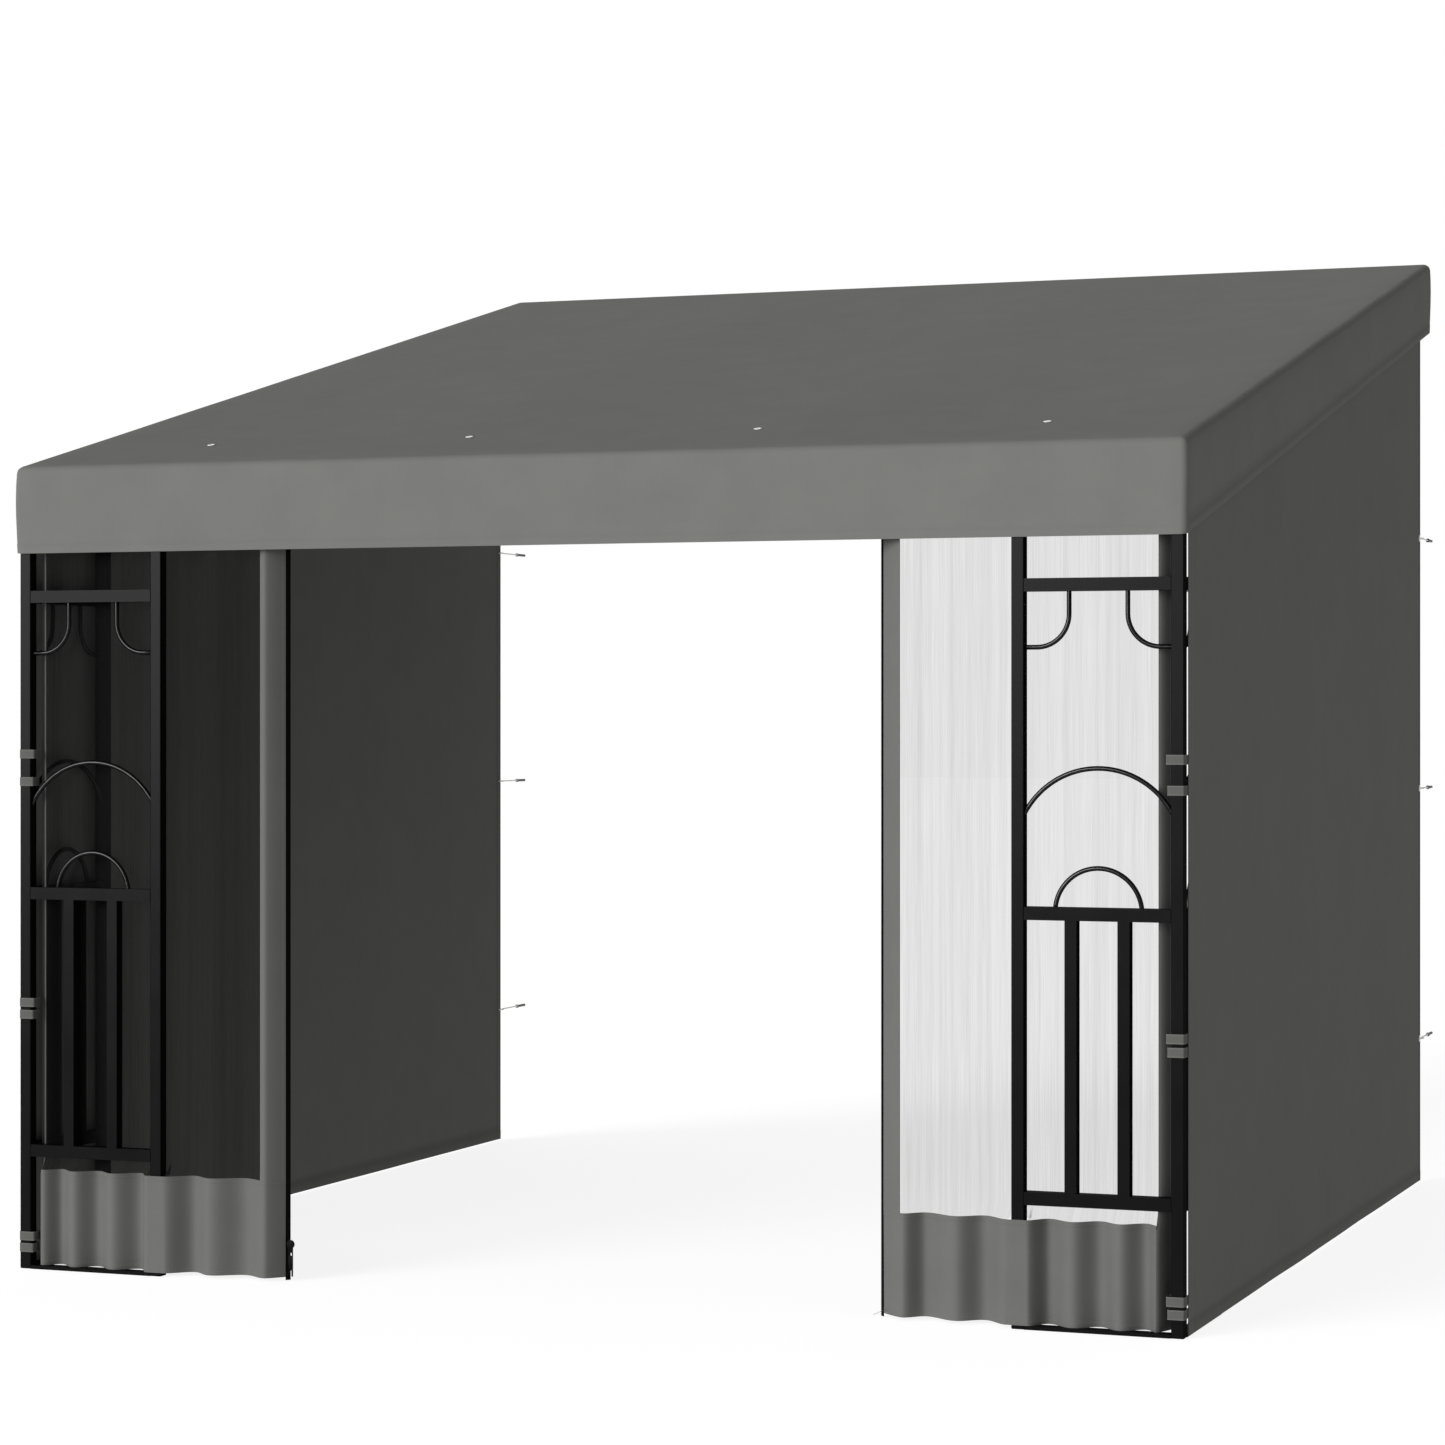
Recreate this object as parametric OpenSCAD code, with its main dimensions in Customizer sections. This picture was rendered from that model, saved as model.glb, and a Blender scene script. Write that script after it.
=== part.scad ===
// Lean-to pergola that is bolted to a wall along its high side. A square-tube frame stands on
// two L-shaped lattice corners and carries a cloth roof, side curtains and netted front doors.
// Sizes are in millimetres. X runs along the wall, Y points into the wall and Z is up.
// The origin is the middle of the wall rail's back face, in the plane of the wall.

/* [Overall] */
// Width over the side valances of the roof cloth
canopy_w = 3000; // [2400:10:4000]
// Depth from the wall to the front faces of the posts
frame_d = 3090; // [2400:10:4000]
// Height of the roof cloth above the ground at the front posts
front_h = 2012; // [1900:1:2500]
// Height of the roof cloth above the ground at the wall
ridge_h = 2740; // [2600:1:3400]

/* [Frame tubes] */
// Side of the square steel tube
tube = 30; // [24:1:40]
// Height of the flat base bars between the feet
base_bar_t = 9; // [4:1:12]
// Diameter of the holes for wall and ground bolts
bolt_hole_d = 9; // [6:0.5:12]
// Distance of the outer wall bolts from the rail's ends
outer_bolt_inset = 190; // [40:5:300]
// Distance between the inner pair of wall bolts
inner_bolts = 900; // [500:10:1200]
// Distance from a base bar's end to its bolt hole
ground_bolt_inset = 60; // [30:1:90]

/* [Lattice panels] */
// Width of a panel over its two posts
panel_w = 400; // [320:1:520]
// Top of the top rail
top_rail_h = 1700; // [1550:1:1800]
// Top of the middle rail
mid_rail_h = 957; // [780:1:1100]
// Top of the low rail
low_rail_h = 312; // [250:1:400]
// Side of the square balusters
baluster = 28; // [16:1:34]
// Diameter of the bent scroll rods
rod_d = 11; // [5:0.5:12]
// Top of the wide arch
arch_top_h = 1276; // [1230:1:1400]
// Height at which the wide arch meets the posts
arch_foot_h = 1172; // [1100:1:1200]
// Top of the small arch above the middle rail
small_arch_rise = 94; // [50:1:100]
// Width of the small arch over its rod
small_arch_w = 211; // [200:1:260]
// Bend radius of the rods below the top rail
bend_r = 75; // [40:1:100]
// Distance of those rods from the posts beside them
hang_in = 102; // [101:1:150]
// Height at which those rods meet the posts
bend_end_h = 1544; // [1480:1:1560]

/* [Roof cloth] */
// Thickness of the cloth
cloth_t = 1; // [0.8:0.1:1.2]
// Gap between the frame's sides and the valances
cover_gap = 7.5; // [7:0.1:12]
// Gap between the tubes and the cloth above them
roof_gap = 2.5; // [2:0.1:4]
// Height of the front valance
valance_h = 218; // [120:1:300]
// Height of the side valances at the wall
rear_valance_h = 206; // [120:1:300]
// Gap between the cloth's rear edge and the wall
wall_gap = 1; // [0.5:0.5:10]
// Distance of the drain eyelets from the front posts' faces
drain_y = 276; // [100:1:360]
// Distance of the outer drain eyelets from the middle
outer_drain_x = 1100; // [900:1:1150]
// Distance of the inner drain eyelets from the middle
inner_drain_x = 380; // [200:1:400]
// Outer diameter of an eyelet's flange
eyelet_d = 20; // [14:0.5:24]
// Diameter of the hole through an eyelet
eyelet_hole_d = 10; // [6:0.5:11]
// Thickness of the metal of an eyelet
eyelet_t = 1; // [0.6:0.1:1.5]

/* [Side curtains] */
// Gap between the frame and the curtains and nets outside it
sheet_gap = 2.6; // [2.2:0.1:3]
// Distance of a curtain's front edge behind the corner post
curtain_front = 6; // [5:1:60]
// Distance of a curtain's rear edge from the wall
curtain_rear = 134; // [60:1:200]
// Height of a curtain's lower edge above the ground
curtain_floor_gap = 4; // [2:1:40]
// Heights of the wall hooks that hold a curtain's rear edge
hook_h = [425, 1168, 1910];
// Diameter of a hook's wire
hook_wire_d = 4; // [3:0.5:5]
// Ring diameter of a hook, to the middle of its wire
hook_ring_d = 22; // [16:1:30]
// Diameter of a wall plug
plug_d = 8; // [6:1:12]
// Length of a wall plug
plug_l = 60; // [40:1:90]
// Length of a hook's screw inside its plug
screw_l = 40; // [25:1:80]

/* [Door nets] */
// Distance from a corner's outer face to the net's free edge
net_w = 728; // [640:1:900]
// Gap between the corner post and the net's fixed edge
net_start_gap = 3; // [2:1:6]
// Width of the fixed edge's binding
fixed_hem_w = 20; // [10:1:40]
// Width of the hem beside the zip
free_hem_w = 56; // [30:1:80]
// Height of the heading that the net hangs from
heading_h = 40; // [20:1:60]
// Width of the zip tapes
zip_w = 8; // [6:1:16]
// Distance of the skirts' top seam below the low rail
skirt_drop = 34; // [10:1:100]
// Height of a skirt's lower edge above the ground
skirt_floor_gap = 12; // [10:1:40]
// Distance of the folds' back behind the posts' front faces
fold_back = 54; // [44:1:90]
// Half folds between the corner post and the inner post
lattice_folds = 7; // [3:2:9]
// Half folds between the inner post and the free edge
free_folds = 5; // [3:2:7]
// Height of the zip slider's top above the ground
slider_h = 101; // [95:1:400]
// Diameter of the zip slider's round grip
slider_d = 21; // [14:1:26]
// Thickness of the zip slider's grip
slider_t = 5; // [3:0.5:8]

/* [Straps and loops] */
// Thickness of the webbing
strap_t = 1.2; // [0.8:0.1:1.4]
// Width of the webbing
strap_w = 22; // [15:1:30]
// Gap between the webbing and the tube it goes round
strap_gap = 0.4; // [0.3:0.1:0.6]
// Length of a strap that is sewn to the curtain
strap_lap = 10; // [5:1:30]
// Middle heights of the low pair of straps
low_strap_h = [82, 53];
// Middle heights of the middle pair of straps
mid_strap_h = [668, 638];
// Middle heights of the top pair of straps above the wide arch's feet
top_strap_rise = [119, 50];
// Slack of the upper straps beside the corner post
upper_strap_slack = 10; // [2:1:11]
// Slack of the lower straps beside the corner post
lower_strap_slack = 7; // [2:1:11]

/* [Hidden] */

black = "#262627";
grey = "#6f6f6c";
dark_grey = "#4d4d4c";
webbing = "#73736e";
mesh = [0.2, 0.2, 0.2, 0.4];
metal = "#b9b9b5";
smooth = 48;
// How far a cutting shape runs past the face that it cuts.
past = 1;

// The frame's sides stand inside the valances.
side_out = cover_gap + cloth_t;
frame_w = canopy_w - 2 * side_out;

// Heights above the ground at a distance y behind the posts' front faces.
slope = (ridge_h - front_h) / frame_d;
slope_a = atan(slope);
function cloth_top(y) = front_h + slope * y;
function rafter_top(y) = cloth_top(y) - cloth_t - roof_gap;
rafter_v = tube / cos(slope_a);
function rafter_foot(y) = rafter_top(y) - rafter_v;
beam_top = rafter_top(0);
rail_top = rafter_top(frame_d - tube);
rail_mid = rail_top - tube / 2;
outer_bolts = frame_w - 2 * outer_bolt_inset;

// Middle rafters split the width into three bays, and the purlins lie halfway up.
mid_rafter_x = frame_w / 6;
rafter_l = (frame_d - 2 * tube) / cos(slope_a);

// Spaces inside a lattice panel.
inner_gap = panel_w - 2 * tube;
baluster_gap = (inner_gap - 2 * baluster) / 3;
arch_rise = arch_top_h - rod_d / 2 - arch_foot_h;
arch_r = (pow(inner_gap / 2, 2) + pow(arch_rise, 2)) / (2 * arch_rise);
small_arch_r = (pow(small_arch_w / 2, 2) + pow(small_arch_rise, 2)) / (2 * small_arch_rise);

// The curtains and nets end level with the middle of the tubes that they hang on.
curtain_end = frame_d - curtain_rear;
curtain_top_drop = tube / 2;

// The nets hang in folds. Folds are counted in half waves: even counts lie forward and odd ones
// back. The skirts fold forward of the posts, and the nets above them stay behind the lattice.
net_start = tube + net_start_gap;
post_start = panel_w - tube - sheet_gap;
post_end = panel_w + sheet_gap;
heading_top = beam_top - tube / 2;
net_top = heading_top - heading_h;
skirt_top = low_rail_h - tube - skirt_drop;
skirt_depth = fold_back + sheet_gap + cloth_t;
net_depth = fold_back - tube - sheet_gap;
function folds(x) =
  x < post_start ? -1 + lattice_folds * pow((x - net_start) / (post_start - net_start), 0.87) :
  x < post_end ? lattice_folds - 1 :
  lattice_folds - 1 + free_folds * (x - post_end) / (net_w - post_end);
function fold_y(n, depth) = fold_back - depth * (1 + cos(180 * n)) / 2;
function skirt_y(x) = fold_y(folds(x), skirt_depth);
function net_y(x) = fold_y(folds(x), folds(x) < lattice_folds ? net_depth : skirt_depth);
function net_points(x0, x1, steps) =
  [for (i = [0:steps]) let (x = x0 + (x1 - x0) * i / steps) [x, net_y(x)]];
function skirt_points(x0, x1, steps) =
  [for (i = [0:steps]) let (x = x0 + (x1 - x0) * i / steps) [x, skirt_y(x)]];

// Curtain eyelets sit just inside the rear edge, and each hook's ring passes through one.
curtain_eyelet_y = curtain_end - eyelet_d / 2 - 3;
hook_ring_y = curtain_eyelet_y + hook_ring_d / 2;

// Puts a corner's own frame in place: X inwards from the outer face, Y back from the front
// face and Z up from the ground. The right corner is a mirror image.
module corner(side) {
  translate([side * frame_w / 2, -frame_d, -rail_mid])
    mirror([side > 0 ? 1 : 0, 0, 0])
      children();
}

// Puts what follows on the middle line of the frame, at the posts' front faces, on the ground.
module middle() {
  translate([0, -frame_d, -rail_mid])
    children();
}

// Turns a front panel into the side panel of the same corner.
module turned() {
  mirror([1, -1, 0])
    children();
}

// Extrudes an outline of [distance back, height] points across the given width.
module across(width, points) {
  rotate([90, 0, 90])
    linear_extrude(width)
      polygon(points);
}

// Frame that follows the roof: Y up the slope and Z square to it, from the beam's top edge.
module on_slope() {
  translate([0, tube, rafter_top(tube)])
    rotate([slope_a, 0, 0])
      children();
}

module rafter_bar() {
  y0 = tube;
  y1 = frame_d - tube;
  across(tube, [[y0, rafter_foot(y0)], [y1, rafter_foot(y1)], [y1, rafter_top(y1)],
    [y0, rafter_top(y0)]]);
}

module wall_rail() {
  color(black)
    difference() {
      translate([-frame_w / 2, -tube, -tube / 2])
        cube([frame_w, tube, tube]);
      for (x = [-outer_bolts / 2, -inner_bolts / 2, inner_bolts / 2, outer_bolts / 2])
        translate([x, -tube - past, 0])
          rotate([-90, 0, 0])
            cylinder(d = bolt_hole_d, h = tube + 2 * past, $fn = smooth);
    }
}

module front_beam() {
  color(black)
    middle()
      translate([-frame_w / 2, 0, beam_top - tube])
        cube([frame_w, tube, tube]);
}

module side_rafter(side) {
  color(black)
    corner(side)
      rafter_bar();
}

module middle_rafters() {
  color(black)
    middle()
      for (side = [-1, 1])
        translate([side * mid_rafter_x - tube / 2, 0, 0])
          rafter_bar();
}

module purlins() {
  side_l = frame_w / 2 - tube - mid_rafter_x - tube / 2;
  color(black)
    middle()
      on_slope()
        translate([0, (rafter_l - tube) / 2, -tube]) {
          for (side = [-1, 1])
            translate([side * (mid_rafter_x + tube / 2 + side_l / 2) - side_l / 2, 0, 0])
              cube([side_l, tube, tube]);
          translate([-mid_rafter_x + tube / 2, 0, 0])
            cube([2 * mid_rafter_x - tube, tube, tube]);
        }
}

module corner_post(side) {
  color(black)
    corner(side)
      cube([tube, tube, beam_top - tube]);
}

module inner_post(side) {
  color(black)
    corner(side)
      translate([panel_w - tube, 0, 0])
        cube([tube, tube, beam_top - tube]);
}

// The side post's top is cut to the slope of the rafter above it.
module side_post(side) {
  y0 = panel_w - tube;
  color(black)
    corner(side)
      across(tube, [[y0, 0], [panel_w, 0], [panel_w, rafter_foot(panel_w)], [y0, rafter_foot(y0)]]);
}

module rail(top) {
  translate([tube, 0, top - tube])
    cube([inner_gap, tube, tube]);
}

module lattice_bars() {
  baluster_l = mid_rail_h - tube - low_rail_h;
  rail(top_rail_h);
  union() {
    rail(mid_rail_h);
    rail(low_rail_h);
    for (i = [1, 2])
      translate([tube + i * baluster_gap + (i - 1) * baluster, (tube - baluster) / 2, low_rail_h])
        cube([baluster, baluster, baluster_l]);
  }
}

// Part of a ring of rod that stands in the panel's plane, from one angle to another.
module bent_rod(radius, from, to) {
  rotate([90, 0, 0])
    rotate([0, 0, from])
      rotate_extrude(angle = to - from, $fn = smooth)
        translate([radius, 0])
          circle(d = rod_d, $fn = 16);
}

// The rod is bent a little too long, and its ends are cut flush with the posts' faces.
module wide_arch() {
  half_a = asin(inner_gap / 2 / arch_r) + 3;
  intersection() {
    translate([panel_w / 2, tube / 2, arch_foot_h + arch_rise - arch_r])
      bent_rod(arch_r, 90 - half_a, 90 + half_a);
    translate([tube, 0, mid_rail_h])
      cube([inner_gap, tube, top_rail_h - mid_rail_h]);
  }
}

// A little less than half a ring, whose ends are cut flush with the middle rail's top.
module small_arch() {
  intersection() {
    translate([panel_w / 2, tube / 2, mid_rail_h + small_arch_rise - small_arch_r])
      bent_rod(small_arch_r - rod_d / 2, 0, 180);
    translate([tube, 0, mid_rail_h])
      cube([inner_gap, tube, small_arch_rise + past]);
  }
}

// Drops from the top rail, bends over and runs level into the post beside it.
module hanging_rod() {
  straight = top_rail_h - tube - bend_end_h - bend_r;
  leg = hang_in - bend_r;
  translate([tube, tube / 2, bend_end_h]) {
    rotate([0, 90, 0])
      cylinder(d = rod_d, h = leg, $fn = 16);
    translate([leg, 0, bend_r]) {
      bent_rod(bend_r, -90, 0);
      translate([bend_r, 0, 0])
        cylinder(d = rod_d, h = straight, $fn = 16);
    }
  }
}

module scroll_rods() {
  wide_arch();
  small_arch();
  hanging_rod();
  translate([panel_w, 0, 0])
    mirror([1, 0, 0])
      hanging_rod();
}

module front_lattice(side) {
  color(black)
    corner(side)
      lattice_bars();
}

module side_lattice(side) {
  color(black)
    corner(side)
      turned()
        lattice_bars();
}

module front_scrolls(side) {
  color(black)
    corner(side)
      scroll_rods();
}

module side_scrolls(side) {
  color(black)
    corner(side)
      turned()
        scroll_rods();
}

module base_bar() {
  difference() {
    translate([tube, 0, 0])
      cube([inner_gap, tube, base_bar_t]);
    for (x = [tube + ground_bolt_inset, panel_w - tube - ground_bolt_inset])
      translate([x, tube / 2, -past])
        cylinder(d = bolt_hole_d, h = base_bar_t + 2 * past, $fn = smooth);
  }
}

module base_bars() {
  color(black)
    for (side = [-1, 1])
      corner(side) {
        base_bar();
        turned()
          base_bar();
      }
}

module drain_places() {
  for (x = [-outer_drain_x, -inner_drain_x, inner_drain_x, outer_drain_x])
    translate([x, drain_y, cloth_top(drain_y)])
      rotate([slope_a, 0, 0])
        children();
}

module roof_cloth() {
  y0 = -side_out;
  y1 = frame_d - wall_gap;
  color(grey)
    middle()
      difference() {
        translate([-canopy_w / 2, 0, 0])
          across(canopy_w, [[y0, cloth_top(y0) - cloth_t], [y1, cloth_top(y1) - cloth_t],
            [y1, cloth_top(y1)], [y0, cloth_top(y0)]]);
        drain_places()
          eyelet_seat();
      }
}

module front_valance() {
  top = cloth_top(-side_out) - cloth_t;
  color(grey)
    middle()
      translate([-canopy_w / 2, -side_out, front_h - valance_h])
        cube([canopy_w, cloth_t, top - front_h + valance_h]);
}

module side_valance(side) {
  y0 = -cover_gap;
  y1 = frame_d - wall_gap;
  color(dark_grey)
    corner(side)
      translate([-side_out, 0, 0])
        across(cloth_t, [[y0, front_h - valance_h], [y1, ridge_h - rear_valance_h],
          [y1, cloth_top(y1) - cloth_t], [y0, cloth_top(y0) - cloth_t]]);
}

// Pressed ring whose barrel fills a cloth hole and whose flange lies on the cloth.
module eyelet() {
  difference() {
    union() {
      cylinder(d = eyelet_d, h = eyelet_t, $fn = smooth);
      translate([0, 0, -cloth_t])
        cylinder(d = eyelet_hole_d + 2 * eyelet_t, h = cloth_t + eyelet_t, $fn = smooth);
    }
    translate([0, 0, -cloth_t - past])
      cylinder(d = eyelet_hole_d, h = cloth_t + eyelet_t + 2 * past, $fn = smooth);
  }
}

// Hole in the cloth that an eyelet's barrel fills.
module eyelet_seat() {
  translate([0, 0, -cloth_t - past])
    cylinder(d = eyelet_hole_d + 2 * eyelet_t, h = cloth_t + 2 * past, $fn = smooth);
}

module drain_eyelets() {
  color(metal)
    middle()
      drain_places()
        eyelet();
}

module curtain_eyelet_places() {
  for (h = hook_h)
    translate([-sheet_gap - cloth_t, curtain_eyelet_y, h])
      rotate([0, -90, 0])
        children();
}

module curtain(side) {
  y0 = tube + curtain_front;
  y1 = curtain_end;
  color(dark_grey)
    corner(side)
      difference() {
        translate([-sheet_gap - cloth_t, 0, 0])
          across(cloth_t, [[y0, curtain_floor_gap], [y1, curtain_floor_gap],
            [y1, rafter_top(y1) - curtain_top_drop], [y0, rafter_top(y0) - curtain_top_drop]]);
        curtain_eyelet_places()
          eyelet_seat();
      }
}

module curtain_eyelets() {
  color(metal)
    for (side = [-1, 1])
      corner(side)
        curtain_eyelet_places()
          eyelet();
}

// Webbing loop round a square tube that runs along Y from the origin's corner.
module tube_loop() {
  out = strap_gap + strap_t;
  difference() {
    translate([-out, 0, -tube - out])
      cube([tube + 2 * out, strap_w, tube + 2 * out]);
    translate([-strap_gap, -past, -tube - strap_gap])
      cube([tube + 2 * strap_gap, strap_w + 2 * past, tube + 2 * strap_gap]);
  }
}

// Three loops in each bay of the rafter: behind the side post, and behind the purlin.
module curtain_loops() {
  purlin_y = rafter_l / 2;
  front_bay = [panel_w / cos(slope_a), purlin_y - tube];
  rear_bay = [purlin_y + tube, rafter_l - curtain_rear];
  color(webbing)
    for (side = [-1, 1])
      corner(side)
        on_slope()
          for (bay = [front_bay, rear_bay], i = [0:2])
            translate([0, bay[0] + (i + 0.5) * (bay[1] - bay[0]) / 3 - strap_w / 2, 0])
              tube_loop();
}

// Screw hook: a closed ring through the curtain's eyelet, and a shank that runs into the plug.
module wall_hook() {
  shank_y = hook_ring_y + hook_ring_d / 2;
  translate([0, hook_ring_y, 0])
    rotate_extrude($fn = smooth)
      translate([hook_ring_d / 2, 0])
        circle(d = hook_wire_d, $fn = 16);
  translate([0, shank_y, 0])
    rotate([-90, 0, 0])
      cylinder(d = hook_wire_d, h = frame_d + screw_l - shank_y, $fn = 24);
}

module wall_hooks(side) {
  color(metal)
    corner(side)
      for (h = hook_h)
        translate([-sheet_gap - cloth_t / 2, 0, h])
          wall_hook();
}

// Plug in the wall with a collar on the wall's face, bored a little wider than the screw.
module wall_plug() {
  collar_t = 2;
  collar_edge = 2;
  play = 0.2;
  rotate([-90, 0, 0])
    difference() {
      union() {
        cylinder(d = plug_d, h = plug_l, $fn = smooth);
        translate([0, 0, -collar_t])
          cylinder(d = plug_d + 2 * collar_edge, h = collar_t, $fn = smooth);
      }
      translate([0, 0, -collar_t - past])
        cylinder(d = hook_wire_d + play, h = collar_t + 2 * past + screw_l, $fn = smooth);
    }
}

module wall_plugs() {
  color(grey)
    for (side = [-1, 1])
      corner(side)
        for (h = hook_h)
          translate([-sheet_gap - cloth_t / 2, frame_d, h])
            wall_plug();
}

// Upright sheet of cloth that follows a line of points in plan, between two heights.
module hung_cloth(line, z0, z1) {
  back = [for (i = [len(line) - 1:-1:0]) line[i] + [0, cloth_t]];
  translate([0, 0, z0])
    linear_extrude(z1 - z0)
      polygon(concat(line, back));
}

module net(side) {
  color(mesh)
    corner(side)
      hung_cloth(net_points(net_start + fixed_hem_w, net_w - zip_w - free_hem_w, 60),
        skirt_top, net_top);
}

// Bound fixed edge and wide free hem of a net.
module net_hem(side) {
  edge = net_w - zip_w;
  color(grey)
    corner(side) {
      hung_cloth(net_points(net_start, net_start + fixed_hem_w, 4), skirt_top, net_top);
      hung_cloth(net_points(edge - free_hem_w, edge, 8), skirt_top, net_top);
    }
}

// Flat heading behind the front beam, from which a net's folds fall.
module net_headings() {
  color(grey)
    for (side = [-1, 1])
      corner(side)
        translate([net_start, tube + sheet_gap, net_top])
          cube([net_w - net_start, cloth_t, heading_h]);
}

// Cloth skirt whose folds pass in front of the inner post.
module skirt(side) {
  color(grey)
    corner(side)
      hung_cloth(skirt_points(net_start, net_w - zip_w, 90), skirt_floor_gap, skirt_top);
}

module zips() {
  color(black)
    for (side = [-1, 1])
      corner(side)
        hung_cloth(net_points(net_w - zip_w, net_w, 2), skirt_floor_gap, net_top);
}

// Slider of the left net's zip: a round grip with a windowed pull and a hooked tail below it.
module zip_slider() {
  pull_w = 13;
  pull_h = 50;
  pull_t = 2;
  window = 7;
  window_drop = 10;
  tail_w = 4;
  tail_h = 18;
  color(black)
    corner(-1)
      translate([net_w, net_y(net_w - zip_w) - slider_t, slider_h - slider_d / 2]) {
        translate([slider_d / 4, slider_t, 0])
          rotate([90, 0, 0])
            cylinder(d = slider_d, h = slider_t, $fn = smooth);
        difference() {
          translate([0, 0, -slider_d / 2 - pull_h])
            cube([pull_w, pull_t, pull_h + slider_d / 4]);
          translate([pull_w / 2 - window / 2, -past, -slider_d / 2 - window_drop - window])
            cube([window, pull_t + 2 * past, window]);
        }
        translate([pull_w - tail_w, 0, -slider_d / 2 - pull_h - tail_h])
          cube([tail_w, pull_t, tail_h + 1]);
      }
}

// Loops round the front beam that carry the nets' headings, either side of the inner posts.
module net_loops() {
  places = [tube + strap_w, panel_w - tube - 2 * strap_w, panel_w + strap_w, net_w - 2 * strap_w];
  color(webbing)
    for (side = [-1, 1])
      corner(side)
        for (x = places)
          translate([x + strap_w, 0, beam_top])
            rotate([0, 0, 90])
              tube_loop();
}

// Webbing ring round the corner post, slack beside it, with a tail to the curtain's front edge.
module strap(slack, h) {
  out = strap_gap + strap_t;
  translate([0, 0, h - strap_w / 2]) {
    difference() {
      translate([-out, -out, 0])
        cube([tube + slack + 2 * out, tube + 2 * out, strap_w]);
      translate([-strap_gap, -strap_gap, -past])
        cube([tube + slack + 2 * strap_gap, tube + 2 * strap_gap, strap_w + 2 * past]);
    }
    translate([-out, 0, 0])
      cube([strap_t, tube + curtain_front + strap_lap, strap_w]);
  }
}

module straps(side) {
  top_strap_h = [for (rise = top_strap_rise) arch_foot_h + rise];
  color(webbing)
    corner(side)
      for (pair = [low_strap_h, mid_strap_h, top_strap_h]) {
        strap(upper_strap_slack, pair[0]);
        strap(lower_strap_slack, pair[1]);
      }
}

wall_rail();
front_beam();
side_rafter(-1);  // left_rafter
side_rafter(1);  // right_rafter
middle_rafters();
purlins();
corner_post(-1);  // left_corner_post
corner_post(1);  // right_corner_post
inner_post(-1);  // left_inner_post
inner_post(1);  // right_inner_post
side_post(-1);  // left_side_post
side_post(1);  // right_side_post
front_lattice(-1);  // left_front_lattice
front_lattice(1);  // right_front_lattice
side_lattice(-1);  // left_side_lattice
side_lattice(1);  // right_side_lattice
front_scrolls(-1);  // left_front_scrolls
front_scrolls(1);  // right_front_scrolls
side_scrolls(-1);  // left_side_scrolls
side_scrolls(1);  // right_side_scrolls
base_bars();
roof_cloth();
front_valance();
side_valance(-1);  // left_valance
side_valance(1);  // right_valance
drain_eyelets();
curtain(-1);  // left_curtain
curtain(1);  // right_curtain
curtain_eyelets();
curtain_loops();
wall_hooks(-1);  // left_wall_hooks
wall_hooks(1);  // right_wall_hooks
wall_plugs();
net(-1);  // left_net
net(1);  // right_net
net_hem(-1);  // left_net_hem
net_hem(1);  // right_net_hem
net_headings();
skirt(-1);  // left_skirt
skirt(1);  // right_skirt
zips();
zip_slider();
net_loops();
straps(-1);  // left_straps
straps(1);  // right_straps
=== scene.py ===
import math

import bmesh
import bpy
from mathutils import Matrix, Vector
from mathutils.bvhtree import BVHTree


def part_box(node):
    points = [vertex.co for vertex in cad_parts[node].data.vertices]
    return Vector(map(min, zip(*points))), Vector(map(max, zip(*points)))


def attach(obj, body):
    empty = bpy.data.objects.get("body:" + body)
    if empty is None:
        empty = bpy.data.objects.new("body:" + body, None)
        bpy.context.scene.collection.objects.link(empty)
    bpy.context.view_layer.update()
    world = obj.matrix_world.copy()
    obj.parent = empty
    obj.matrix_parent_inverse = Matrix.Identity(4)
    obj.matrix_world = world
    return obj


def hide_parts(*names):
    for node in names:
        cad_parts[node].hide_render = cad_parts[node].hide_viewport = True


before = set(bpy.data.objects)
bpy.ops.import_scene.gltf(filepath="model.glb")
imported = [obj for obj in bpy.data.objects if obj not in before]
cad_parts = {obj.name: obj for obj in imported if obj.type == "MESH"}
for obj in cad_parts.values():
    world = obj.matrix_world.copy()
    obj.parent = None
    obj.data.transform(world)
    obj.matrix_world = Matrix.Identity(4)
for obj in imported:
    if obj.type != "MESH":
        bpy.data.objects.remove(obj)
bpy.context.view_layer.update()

# ---------------------------------------------------------------------------------------------
# Camera. It stands level, 1.4 m above the ground, well out in front and to the right of the
# doorway, and looks back past the right corner at the wall.
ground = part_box("left_corner_post")[0].z
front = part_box("left_corner_post")[0].y
CAMERA_PLACE = (3.443, front - 8.088, ground + 1.407)
CAMERA_TURN = 20.66
CAMERA_LENS = 92.37
CAMERA_SHIFT = -0.0102

bpy.ops.object.select_all(action="DESELECT")
bpy.ops.object.camera_add(location=CAMERA_PLACE,
                          rotation=(math.radians(90), 0, math.radians(CAMERA_TURN)))
camera = bpy.context.active_object
camera.data.lens = CAMERA_LENS
camera.data.sensor_width = 36
camera.data.shift_y = CAMERA_SHIFT
bpy.context.scene.camera = camera

# ---------------------------------------------------------------------------------------------
# Studio. A white cyclorama: a pale floor that runs out of sight, soft light from all round and
# one broad soft key light from the left of the front.
DOME_LIGHT = 0.36
KEY_LIGHT = 4.8
KEY_FROM = (-0.073, -0.126, 0.032)
KEY_SOFTNESS = 38
FLOOR_COLOUR = "#808080"
FLOOR_GLOW = 0.64
FLOOR_GLOW_SEEN = 0.86
FLOOR_SIZE = 120


def linear(colour):
    """Turns an sRGB hex colour into the linear RGBA that shaders use."""
    parts = [int(colour[i:i + 2], 16) / 255 for i in (1, 3, 5)]
    return [p / 12.92 if p <= 0.04045 else ((p + 0.055) / 1.055) ** 2.4 for p in parts] + [1.0]


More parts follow.
